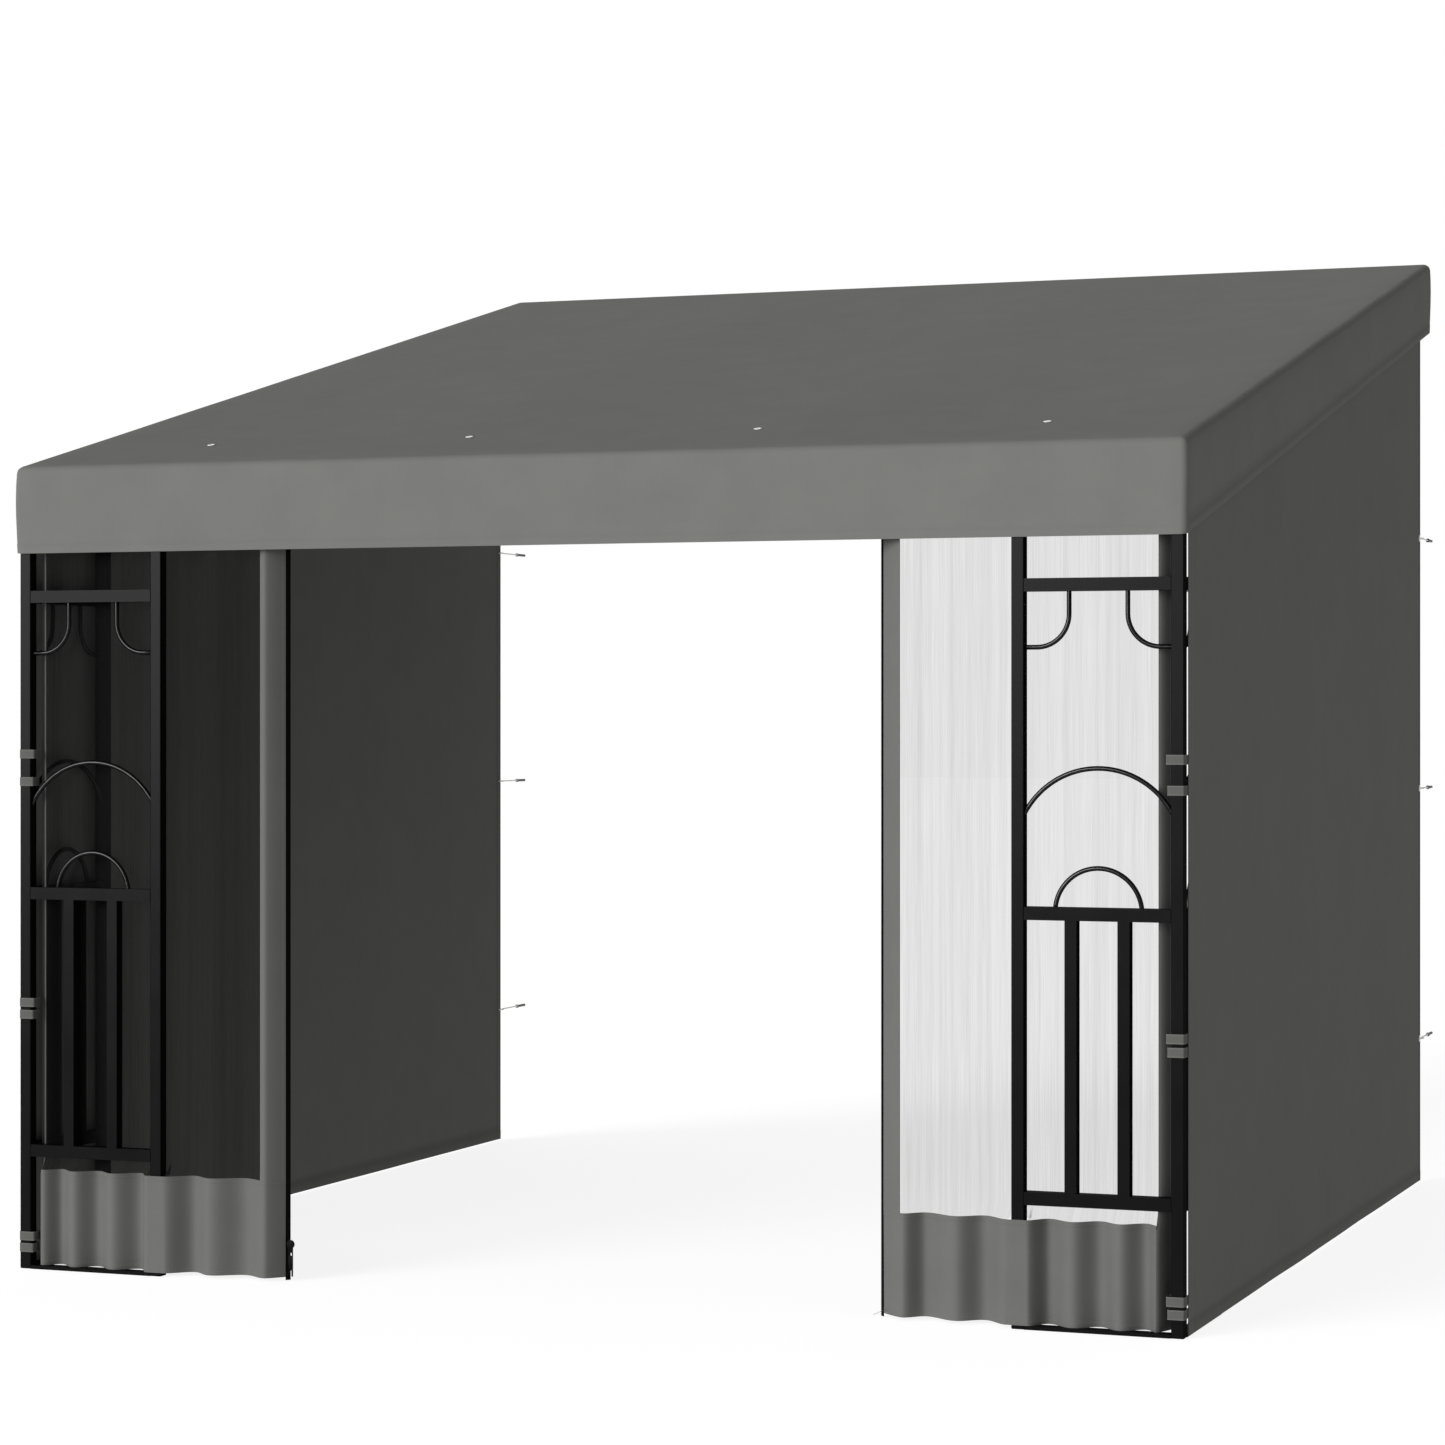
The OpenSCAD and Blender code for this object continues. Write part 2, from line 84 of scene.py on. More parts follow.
def add(tree, kind, inputs=None, **settings):
    """Adds a shader node with its settings and inputs. An input that is a socket is linked."""
    made = tree.nodes.new("ShaderNode" + kind)
    for name, value in settings.items():
        setattr(made, name, value)
    for name, value in (inputs or {}).items():
        if isinstance(value, bpy.types.NodeSocket):
            tree.links.new(value, made.inputs[name])
        else:
            made.inputs[name].default_value = value
    return made


def blank_material(name):
    """A new material with an empty node tree."""
    material = bpy.data.materials.new(name)
    material.use_nodes = True
    material.node_tree.nodes.clear()
    return material, material.node_tree


bpy.context.scene.view_settings.view_transform = "Standard"
world = bpy.data.worlds.new("studio")
bpy.context.scene.world = world
world.use_nodes = True
sky = world.node_tree
sky.nodes.clear()
ray = add(sky, "LightPath")
lit = add(sky, "Background", {"Color": linear("#FFFFFF"), "Strength": DOME_LIGHT})
seen = add(sky, "Background", {"Color": linear("#FFFFFF"), "Strength": 1.0})
either = add(sky, "MixShader", {0: ray.outputs["Is Camera Ray"], 1: lit.outputs[0],
                                2: seen.outputs[0]})
add(sky, "OutputWorld", {"Surface": either.outputs[0]})

bpy.ops.object.light_add(type="SUN", location=(0, front, 5))
key = bpy.context.active_object
key.data.energy = KEY_LIGHT
key.data.angle = math.radians(KEY_SOFTNESS)
key.rotation_euler = Vector(KEY_FROM).to_track_quat("Z", "Y").to_euler()

bpy.ops.mesh.primitive_plane_add(size=FLOOR_SIZE, location=(0, 0, ground - 0.0005))
floor = bpy.context.active_object
floor.name = "floor"
floor_paint, tree = blank_material("studio_floor")
speckle = add(tree, "TexNoise", {"Vector": add(tree, "TexCoord").outputs["Object"], "Scale": 3.0})
tone = add(tree, "MapRange", {"Value": speckle.outputs["Fac"], "To Min": 0.99, "To Max": 1.01})
pale = add(tree, "HueSaturation", {"Color": linear(FLOOR_COLOUR), "Value": tone.outputs[0]})
seen_first = add(tree, "LightPath").outputs["Is Camera Ray"]
glow = add(tree, "MapRange", {"Value": seen_first, "To Min": FLOOR_GLOW,
                              "To Max": FLOOR_GLOW_SEEN})
shader = add(tree, "BsdfPrincipled", {
    "Base Color": pale.outputs[0], "Roughness": 0.9, "Specular IOR Level": 0.1,
    "Emission Color": linear("#FFFFFF"), "Emission Strength": glow.outputs[0]})
add(tree, "OutputMaterial", {"Surface": shader.outputs[0]})
floor.data.materials.append(floor_paint)

# ---------------------------------------------------------------------------------------------
# Steel frame. Posts, beam, rafters, purlins and lattice bars are thin-walled square steel tube
# with drawn corners of about 3 mm, welded or bolted end to side, and powder coated satin black.
TUBE_CORNER = 0.0026
TUBE_NODES = ["wall_rail", "front_beam", "left_rafter", "right_rafter", "middle_rafters",
              "purlins", "left_corner_post", "right_corner_post", "left_inner_post",
              "right_inner_post", "left_side_post", "right_side_post", "left_front_lattice",
              "right_front_lattice", "left_side_lattice", "right_side_lattice", "base_bars"]


def only(piece):
    """Selects one piece and nothing else."""
    bpy.ops.object.select_all(action="DESELECT")
    piece.select_set(True)
    bpy.context.view_layer.objects.active = piece


def pick(piece, test, kind="faces"):
    """In edit mode, selects the faces, edges or verts that pass the test and nothing else."""
    bpy.ops.mesh.select_all(action="DESELECT")
    shape = bmesh.from_edit_mesh(piece.data)
    for part in getattr(shape, kind):
        if test(part):
            part.select_set(True)
    bmesh.update_edit_mesh(piece.data)


def apply_modifier(piece, kind, **settings):
    """Adds one modifier with its settings and applies it."""
    only(piece)
    made = piece.modifiers.new(kind.lower(), kind)
    for name, value in settings.items():
        setattr(made, name, value)
    bpy.ops.object.modifier_apply(modifier=made.name)


def merged_copy(node, name):
    """A separate copy of a CAD node's mesh, its loose triangles joined into whole faces."""
    piece = bpy.data.objects.new(name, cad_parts[node].data.copy())
    bpy.context.scene.collection.objects.link(piece)
    piece.data.materials.clear()
    only(piece)
    bpy.ops.object.mode_set(mode="EDIT")
    bpy.ops.mesh.select_all(action="SELECT")
    bpy.ops.mesh.remove_doubles(threshold=0.00001)
    bpy.ops.mesh.dissolve_limited(angle_limit=math.radians(0.5))
    bpy.ops.object.mode_set(mode="OBJECT")
    return piece


def round_edges(piece, width, segments):
    """Bevels every sharp edge of a piece."""
    only(piece)
    bpy.ops.object.mode_set(mode="EDIT")
    bpy.ops.mesh.select_all(action="DESELECT")
    bpy.ops.mesh.edges_select_sharp(sharpness=math.radians(30))
    bpy.ops.mesh.bevel(offset=width, segments=segments, affect="EDGES", clamp_overlap=True)
    bpy.ops.object.mode_set(mode="OBJECT")


def smooth(piece, degrees):
    """Shades a piece smooth across every edge that turns by less than this."""
    only(piece)
    bpy.ops.object.shade_smooth_by_angle(angle=math.radians(degrees))


def finish_piece(piece, material, slot, *nodes):
    """Gives a piece its material and body, and hides the CAD nodes that it stands for. The slot is not
    used.
    """
    piece.data.materials.append(material)
    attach(piece, "root")
    if nodes:
        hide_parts(*nodes)


# Powder coat: polyester resin baked on steel. A satin black with a fine orange peel of about
# 2 mm that breaks up its highlights. A graphite filler gives it a dull metallic glint from the
# front and takes away the pale sheen that plain gloss paint has at a slant.
powder_coat, tree = blank_material("satin_black_powder_coat")
place = add(tree, "TexCoord").outputs["Object"]
peel = add(tree, "TexNoise", {"Vector": place, "Scale": 500.0, "Detail": 2.0})
cloud = add(tree, "TexNoise", {"Vector": place, "Scale": 9.0, "Detail": 3.0})
gloss = add(tree, "MapRange", {"Value": cloud.outputs["Fac"], "To Min": 0.18, "To Max": 0.27})
relief = add(tree, "Bump", {"Height": peel.outputs["Fac"], "Strength": 0.12, "Distance": 0.0002})
tone = add(tree, "MapRange", {"Value": cloud.outputs["Fac"], "To Min": 0.9, "To Max": 1.1})
black = add(tree, "HueSaturation", {"Color": linear("#131313"), "Value": tone.outputs[0]})
shader = add(tree, "BsdfPrincipled", {
    "Base Color": black.outputs[0], "Metallic": 0.5, "Roughness": gloss.outputs[0],
    "Specular IOR Level": 0.0, "Specular Tint": linear("#9A9A9A"),
    "Normal": relief.outputs[0]})
add(tree, "OutputMaterial", {"Surface": shader.outputs[0]})

for node in TUBE_NODES:
    tubes = merged_copy(node, node + "_steel")
    round_edges(tubes, TUBE_CORNER, 3)
    smooth(tubes, 40)
    apply_modifier(tubes, "WEIGHTED_NORMAL", keep_sharp=True, weight=80)
    finish_piece(tubes, powder_coat, "frame", node)

# ---------------------------------------------------------------------------------------------
# Scroll rods. Round 11 mm bar, bent cold into arches and hooks and welded to the posts and the
# rails, under a powder coat of the same kind.

# The coat on the drawn rods has less peel than on the tubes, so it carries a thin bright line.
rod_coat, tree = blank_material("gloss_black_powder_coat")
place = add(tree, "TexCoord").outputs["Object"]
cloud = add(tree, "TexNoise", {"Vector": place, "Scale": 20.0, "Detail": 3.0})
gloss = add(tree, "MapRange", {"Value": cloud.outputs["Fac"], "To Min": 0.16, "To Max": 0.24})
tone = add(tree, "MapRange", {"Value": cloud.outputs["Fac"], "To Min": 0.9, "To Max": 1.1})
black = add(tree, "HueSaturation", {"Color": linear("#262626"), "Value": tone.outputs[0]})
shader = add(tree, "BsdfPrincipled", {
    "Base Color": black.outputs[0], "Metallic": 0.9, "Roughness": gloss.outputs[0],
    "Specular IOR Level": 0.0, "Specular Tint": linear("#000000")})
add(tree, "OutputMaterial", {"Surface": shader.outputs[0]})

for corner in ("left", "right"):
    for panel in ("front", "side"):
        node = f"{corner}_{panel}_scrolls"
        rods = merged_copy(node, node + "_rods")
        smooth(rods, 50)
        finish_piece(rods, rod_coat, "frame", node)

# ---------------------------------------------------------------------------------------------
# Roof cloth. One cover of coated woven polyester: the sloping top and three valances, sewn to
# soft corners, with a folded and stitched hem. It sags a little between the tubes under it.
roof_low, roof_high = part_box("roof_cloth")
valance_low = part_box("front_valance")[0].z
COVER_THICK = 0.0010
REAR_VALANCE = 0.206
SIDE_ROUND = 0.019
FRONT_ROUND = 0.014
CORNER_ROUND = 0.017
CUT_STEP = 0.06
SAG = 0.008
VALANCE_BULGE = 0.0035
HEM = 0.022
HEM_RISE = 0.0007
CLOTH_THREADS = 0.0030
TUBE_HALF = 0.015

slope = (roof_high.z - roof_low.z - COVER_THICK) / (roof_high.y - roof_low.y)


def roof_top(y):
    """Height of the cover's outside above the row's origin, before it sags."""
    return roof_high.z + slope * (y - roof_high.y)


def valance_foot(y):
    """Height of the valances' lower edge: level in front, and rising with the roof."""
    rise = roof_high.z - REAR_VALANCE - valance_low
    return valance_low + rise * (y - roof_low.y) / (roof_high.y - roof_low.y)


def woven(name, colour, threads=CLOTH_THREADS, relief_depth=0.0002, cloud_share=0.04,
          webbing_width=0.0):
    """Woven polyester with its threads along the piece's UV axes, which are in metres.
    Webbing of a stated width has a paler, tighter selvedge along both its edges."""
    material, tree = blank_material(name)
    sheet_place = add(tree, "UVMap").outputs["UV"]
    place = add(tree, "TexCoord").outputs["Object"]
    wave_scale = 0.314 / threads
    warp = add(tree, "TexWave", {"Vector": sheet_place, "Scale": wave_scale, "Distortion": 0.6,
                                 "Detail": 1.0}, bands_direction="X")
    weft = add(tree, "TexWave", {"Vector": sheet_place, "Scale": wave_scale, "Distortion": 0.6,
                                 "Detail": 1.0}, bands_direction="Y")
    weave = add(tree, "Math", {0: warp.outputs["Fac"], 1: weft.outputs["Fac"]},
                operation="MULTIPLY")
    relief = add(tree, "Bump", {"Height": weave.outputs[0], "Strength": 0.35,
                                "Distance": relief_depth})
    cloud = add(tree, "TexNoise", {"Vector": place, "Scale": 7.0, "Detail": 4.0,
                                   "Roughness": 0.6})
    slub = add(tree, "MapRange", {"Value": weave.outputs[0], "To Min": -0.02, "To Max": 0.02})
    tone = add(tree, "MapRange", {"Value": cloud.outputs["Fac"], "From Min": 0.3,
                                  "From Max": 0.7, "To Min": 1 - cloud_share,
                                  "To Max": 1 + cloud_share})
    both = add(tree, "Math", {0: tone.outputs[0], 1: slub.outputs[0]}, operation="ADD")
    if webbing_width:
        across = add(tree, "SeparateXYZ", {"Vector": sheet_place}).outputs["Y"]
        off = add(tree, "Math", {0: across, 1: webbing_width / 2}, operation="SUBTRACT")
        far = add(tree, "Math", {0: off.outputs[0]}, operation="ABSOLUTE")
        edge = add(tree, "MapRange", {"Value": far.outputs[0],
                                      "From Min": webbing_width / 2 - 0.0034,
                                      "From Max": webbing_width / 2 - 0.0018,
                                      "To Min": 0.0, "To Max": 0.32})
        both = add(tree, "Math", {0: both.outputs[0], 1: edge.outputs[0]}, operation="ADD")
    dyed = add(tree, "HueSaturation", {"Color": linear(colour), "Value": both.outputs[0]})
    shader = add(tree, "BsdfPrincipled", {
        "Base Color": dyed.outputs[0], "Roughness": 0.82, "IOR": 1.5,
        "Specular IOR Level": 0.2, "Sheen Weight": 0.05, "Sheen Roughness": 0.6,
        "Sheen Tint": linear("#9A9A97"), "Normal": relief.outputs[0]})
    add(tree, "OutputMaterial", {"Surface": shader.outputs[0]})
    return material


def flat_uv(piece):
    """Lays the piece's UVs flat from the side each face looks to, in metres."""
    only(piece)
    bpy.ops.object.mode_set(mode="EDIT")
    bpy.ops.mesh.select_all(action="SELECT")
    bpy.ops.uv.cube_project(cube_size=1.0, correct_aspect=False)
    bpy.ops.object.mode_set(mode="OBJECT")


def cut(piece, point, normal):
    """Cuts every face of the piece along a plane, and keeps both sides."""
    only(piece)
    bpy.ops.object.mode_set(mode="EDIT")
    bpy.ops.mesh.select_all(action="SELECT")
    bpy.ops.mesh.bisect(plane_co=point, plane_no=normal)
    bpy.ops.object.mode_set(mode="OBJECT")


def hem(piece, point, normal, rise):
    """Doubles a cloth's thickness on the plane's far side, with a crisp step at the plane."""
    point, normal = Vector(point), Vector(normal).normalized()
    cut(piece, point, normal)
    cut(piece, point - normal * 0.001, normal)
    bpy.ops.object.mode_set(mode="EDIT")
    pick(piece, lambda f: (f.calc_center_median() - point).dot(normal) > 0)
    bpy.ops.transform.shrink_fatten(value=rise, use_even_offset=False)
    bpy.ops.object.mode_set(mode="OBJECT")


STITCH = 0.0045
STITCH_PITCH = 0.0065
THREAD = 0.0009
STITCH_ENDS = 0.4
STITCH_REACH = 0.08
STITCH_OFF = 0.02
HEM_TO_STITCH = 0.003

# Sewing thread: spun polyester, a shade paler than the cloth, with a twist of about 1 mm.
thread_twist, tree = blank_material("polyester_sewing_thread")
twist = add(tree, "TexWave", {"Vector": add(tree, "TexCoord").outputs["Object"],
                              "Scale": 300.0, "Distortion": 1.0}, bands_direction="DIAGONAL")
relief = add(tree, "Bump", {"Height": twist.outputs["Fac"], "Strength": 0.4,
                            "Distance": 0.0002})
tone = add(tree, "MapRange", {"Value": twist.outputs["Fac"], "To Min": 0.9, "To Max": 1.1})
spun = add(tree, "HueSaturation", {"Color": linear("#666663"), "Value": tone.outputs[0]})
shader = add(tree, "BsdfPrincipled", {
    "Base Color": spun.outputs[0], "Roughness": 0.7, "Specular IOR Level": 0.25,
    "Normal": relief.outputs[0]})
add(tree, "OutputMaterial", {"Surface": shader.outputs[0]})


def stitch_row(name, cloth, start, end, out, slot="canopy_cloth"):
    """A row of lockstitches from start to end, laid on the side of a cloth that looks out."""
    start, end, out = Vector(start), Vector(end), Vector(out).normalized()
    along = (end - start).normalized()
    bpy.ops.object.select_all(action="DESELECT")
    bpy.ops.mesh.primitive_cylinder_add(vertices=6, radius=THREAD / 2, depth=STITCH)
    row = bpy.context.active_object
    row.name = name
    for place in (-0.3, 0.3):
        cut(row, (0, 0, place * STITCH), (0, 0, 1))
    for point in row.data.vertices:
        if abs(point.co.z) > STITCH_ENDS * STITCH:
            point.co.x = point.co.x * STITCH_ENDS - THREAD * STITCH_ENDS
            point.co.y *= STITCH_ENDS
    apply_modifier(row, "ARRAY", count=int((end - start).length / STITCH_PITCH),
                   use_relative_offset=False, use_constant_offset=True,
                   constant_offset_displace=(0, 0, STITCH_PITCH))
    turn = Matrix((out, along.cross(out), along)).transposed().to_4x4()
    row.data.transform(Matrix.Translation(start) @ turn)
    shape = bmesh.new()
    shape.from_mesh(cloth.data)
    surface = BVHTree.FromBMesh(shape)
    shape.free()
    for point in row.data.vertices:
        height = (point.co - start).dot(out)
        above = point.co + out * (STITCH_REACH - height)
        hit = surface.ray_cast(above, -out, 2 * STITCH_REACH)[0]
        if hit:
            point.co = hit + out * (height + THREAD * 0.2)
    smooth(row, 70)
    finish_piece(row, thread_twist, slot)
    return row


roof_cloth = woven("coated_polyester_canopy", "#5C5C5A")

bpy.ops.object.select_all(action="DESELECT")
bpy.ops.mesh.primitive_cube_add(size=1, location=((roof_low.x + roof_high.x) / 2,
                                                  (roof_low.y + roof_high.y) / 2, 0))
cover = bpy.context.active_object
cover.name = "roof_cover"
cover.dimensions = (roof_high.x - roof_low.x, roof_high.y - roof_low.y, 1)
bpy.ops.object.transform_apply(location=True, rotation=True, scale=True)
for point in cover.data.vertices:
    point.co.z = roof_top(point.co.y) if point.co.z > 0 else valance_foot(point.co.y)
bpy.ops.object.mode_set(mode="EDIT")
pick(cover, lambda f: f.normal.z < -0.5 or f.normal.y > 0.5)
bpy.ops.mesh.delete(type="FACE")
bpy.ops.object.mode_set(mode="OBJECT")
weights = cover.data.attributes.new("bevel_weight_edge", "FLOAT", "EDGE")
for edge in cover.data.edges:
    a, b = (cover.data.vertices[i].co for i in edge.vertices)
    along = (b - a).normalized()
    middle_z = (a.z + b.z) / 2 - roof_top((a.y + b.y) / 2)
    if abs(along.z) > 0.9 and (a.y + b.y) / 2 < roof_low.y + 0.01:
        weights.data[edge.index].value = CORNER_ROUND / SIDE_ROUND
    elif abs(along.x) > 0.9 and middle_z > -0.01 and a.y < roof_low.y + 0.01:
        weights.data[edge.index].value = FRONT_ROUND / SIDE_ROUND
    elif abs(along.y) > 0.9 and middle_z > -0.01:
        weights.data[edge.index].value = 1.0
apply_modifier(cover, "BEVEL", width=SIDE_ROUND, segments=5, limit_method="WEIGHT")
steps = int((roof_high.x - roof_low.x) / CUT_STEP)
for i in range(1, steps):
    cut(cover, (roof_low.x + i * CUT_STEP, 0, 0), (1, 0, 0))
steps = int((roof_high.y - roof_low.y) / CUT_STEP)
for i in range(1, steps + 1):
    cut(cover, (0, roof_low.y + i * CUT_STEP, 0), (0, 1, 0))
for drop in (0.045, 0.085, 0.125, 0.165):
    cut(cover, (0, roof_high.y, roof_high.z - drop), (0, -slope, 1))

rafter_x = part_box("middle_rafters")[1].x - TUBE_HALF
side_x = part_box("right_rafter")[1].x - TUBE_HALF
purlin_y = (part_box("purlins")[0].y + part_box("purlins")[1].y) / 2
beam_y = front + TUBE_HALF
rail_y = -TUBE_HALF


def sag_at(x, y):
    """How far the cover hangs below the line between the tubes round its bay."""
    x = abs(x)
    across = (x + rafter_x) / (2 * rafter_x) if x < rafter_x else (x - rafter_x) / (side_x - rafter_x)
    back = (y - beam_y) / (purlin_y - beam_y) if y < purlin_y else (y - purlin_y) / (rail_y - purlin_y)
    if not (0 < across < 1 and 0 < back < 1):
        return 0.0
    return SAG * math.sin(math.pi * across) ** 1.3 * math.sin(math.pi * back) ** 1.3


for point in cover.data.vertices:
    x, y, z = point.co
    below = roof_top(y) - z
    if below < 0.001:
        point.co.z -= sag_at(x, y)
    else:
        share = min(1.0, below / (roof_top(y) - valance_foot(y)))
        bulge = VALANCE_BULGE * math.sin(math.pi * min(1.0, share * 1.05) ** 0.8)
        if abs(x) > roof_high.x - 0.03:
            point.co.x += math.copysign(bulge, x) + 0.0008 * math.sin(y * 9)
        if y < roof_low.y + 0.03:
            point.co.y -= bulge + 0.0006 * math.sin(x * 7)
apply_modifier(cover, "SOLIDIFY", thickness=COVER_THICK, offset=-1)
foot_slope = (valance_foot(0) - valance_foot(front)) / (0 - front)
hem(cover, (0, 0, valance_foot(0) + HEM), (0, foot_slope, -1), HEM_RISE)
flat_uv(cover)
smooth(cover, 50)
finish_piece(cover, roof_cloth, "canopy_cloth",
             "roof_cloth", "front_valance", "left_valance", "right_valance")
hem_line = HEM - HEM_TO_STITCH
front_y = roof_low.y - STITCH_OFF
cover_stitches = [stitch_row(
    "front_valance_stitches", cover, (roof_low.x + 0.03, front_y, valance_low + hem_line),
    (roof_high.x - 0.03, front_y, valance_low + hem_line), (0, -1, 0))]
for side, corner in ((-1, "left"), (1, "right")):
    x = side * (roof_high.x + STITCH_OFF)
    ends = [(x, y, valance_foot(y) + hem_line) for y in (roof_low.y + 0.03, roof_high.y - 0.01)]
    cover_stitches.append(stitch_row(f"{corner}_valance_stitches", cover, *ends, (side, 0, 0)))

# ---------------------------------------------------------------------------------------------
# Side curtains. Plain sheets of the same polyester, hemmed all round, tied at the front to the
# corner post, hung by loops from the rafter and hooked to the wall at the rear.
CURTAIN_THICK = 0.0008
CURTAIN_HEM = 0.028
CURTAIN_RIPPLE = 0.0010
STRAP_PULL = 0.0018
PULL_REACH = 0.060

curtain_cloth = woven("polyester_curtain", "#555553")


def hung_sheet(name, columns, rows, width, height, put):
    """A grid of cloth whose point at share u across and v up goes where put(u, v) says."""
    bpy.ops.object.select_all(action="DESELECT")
    bpy.ops.mesh.primitive_grid_add(x_subdivisions=columns, y_subdivisions=rows, size=1)
    piece = bpy.context.active_object
    piece.name = name
    for point in piece.data.vertices:
        point.co = put(point.co.x + 0.5, point.co.y + 0.5)
    for corner in piece.data.uv_layers[0].data:
        corner.uv = (corner.uv[0] * width, corner.uv[1] * height)
    return piece


for side, corner in ((-1, "left"), (1, "right")):
    low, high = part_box(f"{corner}_curtain")
    sheet_x = (low.x + high.x) / 2
    post_top = high.z - slope * (high.y - low.y)

    def curtain_point(u, v):
        y = low.y + u * (high.y - low.y)
        top = post_top + slope * (y - low.y)
        z = low.z + v * (top - low.z)
        calm = math.sin(math.pi * u) * min(1.0, (1 - v) * 4)
        ripple = math.sin(5.1 * y + 0.8 * z) + 0.6 * math.sin(11.3 * y - 1.1 * z + 1)
        pulled = STRAP_PULL * max(0.0, 1 - (y - low.y) / PULL_REACH) ** 2
        return (sheet_x + side * (CURTAIN_RIPPLE * ripple * calm - pulled), y, z)

    curtain = hung_sheet(f"{corner}_side_curtain", 70, 50, high.y - low.y, high.z - low.z,
                         curtain_point)
    apply_modifier(curtain, "SOLIDIFY", thickness=CURTAIN_THICK, offset=0)
    hem(curtain, (0, 0, low.z + CURTAIN_HEM), (0, 0, -1), HEM_RISE)
    hem(curtain, (0, low.y + CURTAIN_HEM, 0), (0, -1, 0), HEM_RISE * 0.6)
    hem(curtain, (0, high.y - CURTAIN_HEM, 0), (0, 1, 0), HEM_RISE * 0.6)
    smooth(curtain, 50)
    finish_piece(curtain, curtain_cloth, "curtain_cloth", f"{corner}_curtain")
    inset = CURTAIN_HEM - HEM_TO_STITCH
    edge = side * (high.x - low.x + STITCH_OFF) / 2 + sheet_x
    front_y, rear_y = low.y + inset, high.y - inset
    rows = (("foot", (edge, low.y + 0.01, low.z + inset), (edge, high.y - 0.01, low.z + inset)),
            ("front_edge", (edge, front_y, low.z + 0.01), (edge, front_y, post_top - 0.01)),
            ("rear_edge", (edge, rear_y, low.z + 0.01), (edge, rear_y, high.z - 0.03)))
    curtain_stitches = [stitch_row(f"{corner}_curtain_{name}_stitches", curtain, start, end,
                                   (side, 0, 0), "curtain_cloth") for name, start, end in rows]

# ---------------------------------------------------------------------------------------------
# Door nets. Fine black polyester mesh between a narrow grey binding at the corner post and a
# wide grey hem beside the zip, above a grey skirt. It is drawn back and hangs in soft folds.
NET_THICK = 0.0006
SKIRT_THICK = 0.0008
NET_START = 0.0325
BINDING_END = {"left": 0.054, "right": 0.067}
BINDING_BACK = {"left": 0.052, "right": 0.064}
HEM_START = 0.668
ZIP_START = 0.720
NET_END = 0.728
POST_CLEAR = (0.362, 0.408)
FREE_FOLD = {"left": (0.682, 0.012), "right": (0.661, 0.008)}
BINDING_TURN = 1.5
BINDING_CURL = 1.6
EDGING_THICK = 0.0014
EDGING_PROUD = 0.0002
EDGING_LAP = 0.002
TAPE_THICK = 0.0016
TAPE_DROP = 0.008
TEETH_DROP = 0.004
SKIRT_HEM = 0.012
SEAM_HEM = 0.010
SKIRT_RISE = 0.0005
HEADING_BACK = 0.0340
HEADING_FADE = 0.14
HEADING_THICK = 0.0010
HEADING_LAP = 0.004
HEADING_SET_BACK = 0.0008
HEADING_GATHER = 0.0012
HEADING_FREQUENCY = 260
low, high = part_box("left_skirt")
skirt_foot, skirt_seam = low.z - 0.002, high.z
rail_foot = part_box("left_front_lattice")[0].z
net_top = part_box("left_net")[1].z
corner_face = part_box("right_corner_post")[1].x

# The folds in plan: distance in from the corner's outer face, and back from the posts' front.
SKIRT_FOLDS = [(0.0325, 0.032), (0.059, 0.010), (0.097, 0.040), (0.149, 0.006), (0.202, 0.040),
               (0.259, 0.005), (0.322, 0.040), (0.364, -0.0035), (0.406, -0.0035),
               (0.474, 0.040), (0.533, 0.006), (0.615, 0.042), (0.728, 0.060)]
NET_FOLDS = [(0.0325, 0.048), (0.059, 0.0345), (0.097, 0.054), (0.149, 0.035), (0.202, 0.054),
             (0.259, 0.035), (0.324, 0.054), (0.387, 0.0345), (0.474, 0.052), (0.533, 0.004),
             (0.615, 0.050), (0.728, 0.060)]


def with_free_fold(folds, corner):
    """The folds of one corner, with its own forward fold before the free edge."""
    return folds[:-1] + [FREE_FOLD[corner], folds[-1]]


def fold_line(folds, a):
    """How far back a folded cloth hangs, easing from each fold to the next."""
    for (a0, y0), (a1, y1) in zip(folds, folds[1:]):
        if a <= a1:
            share = max(0.0, (a - a0) / (a1 - a0))
            if a1 == folds[-1][0]:
                return y0 + (y1 - y0) * share ** 1.25
            return y0 + (y1 - y0) * (1 - math.cos(math.pi * share)) / 2
    return folds[-1][1]


def eased(share):
    """A share from 0 to 1 that leaves 0 and reaches 1 smoothly."""
    share = min(1.0, max(0.0, share))
    return share * share * (3 - 2 * share)


def net_back(a, z):
    """The net's distance back: flat at its heading, folded behind the lattice, and below the
    low rail coming forward into the skirt's folds."""
    share = 1.0 if POST_CLEAR[0] < a < POST_CLEAR[1] else eased(
        (z - skirt_seam) / (rail_foot - skirt_seam - 0.002))
    back = fold_line(skirt_folds, a) * (1 - share) + fold_line(net_folds, a) * share
    flat = eased((z - net_top + HEADING_FADE) / HEADING_FADE)
    return back * (1 - flat) + HEADING_BACK * flat


def skirt_back(a, z):
    """The skirt's distance back; its folds open a little towards the ground."""
    flare = 1 + 0.06 * (skirt_seam - z) / (skirt_seam - skirt_foot)
    back = fold_line(skirt_folds, a)
    return min(0.062, 0.025 + (back - 0.025) * flare) if back > -0.003 else back


def in_corner(side, a, back, z):
    """A point of a corner's own frame, in the row frame."""
    return Vector((side * (corner_face - a), front + back, z))


